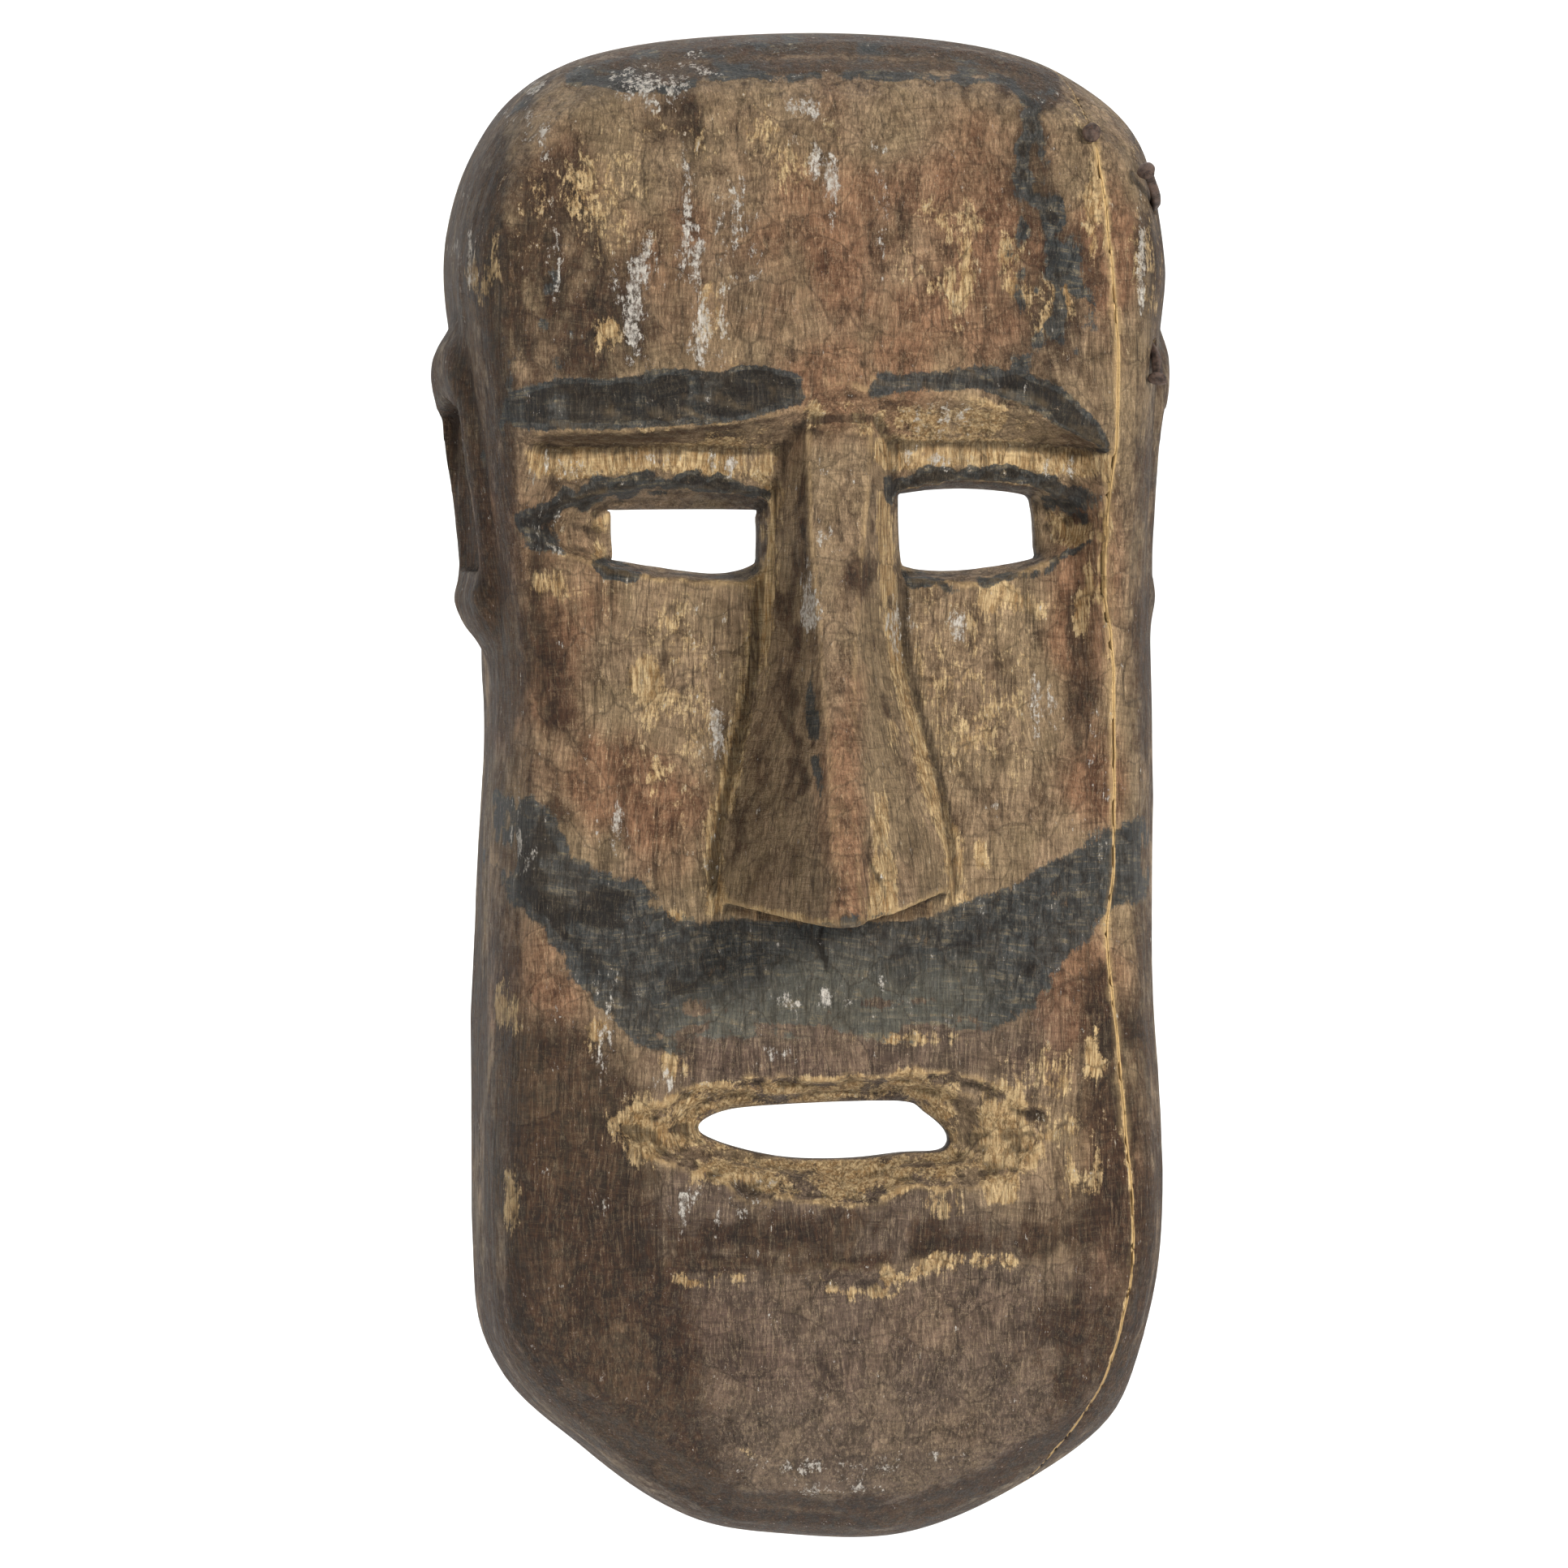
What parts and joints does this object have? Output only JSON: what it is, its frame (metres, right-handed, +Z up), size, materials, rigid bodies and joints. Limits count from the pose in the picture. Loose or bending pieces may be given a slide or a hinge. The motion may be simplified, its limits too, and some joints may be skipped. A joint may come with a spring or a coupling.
{
  "type": "carved wooden face mask",
  "caption": "Tall hollowed wooden face mask with a wedge nose, cut-through eyes and mouth, relief ears and a nailed side split.",
  "frame": {"origin": "centre of the open back, in the plane of the back rim", "axes": "+Z up the face from chin to crown, -Y out of the face, +X to the viewer's right"},
  "size_m": [0.1663, 0.098, 0.3375],
  "materials": {
    "painted_wood": "worn matte earth pigment on carved wood",
    "stave_wood": "worn matte earth pigment on carved wood",
    "iron": "rusted"
  },
  "bodies": {
    "root": {"mask_shell": "painted_wood", "side_stave": "stave_wood", "split_nail": "iron", "upper_side_nail": "iron", "lower_side_nail": "iron"}
  },
  "joints": []
}
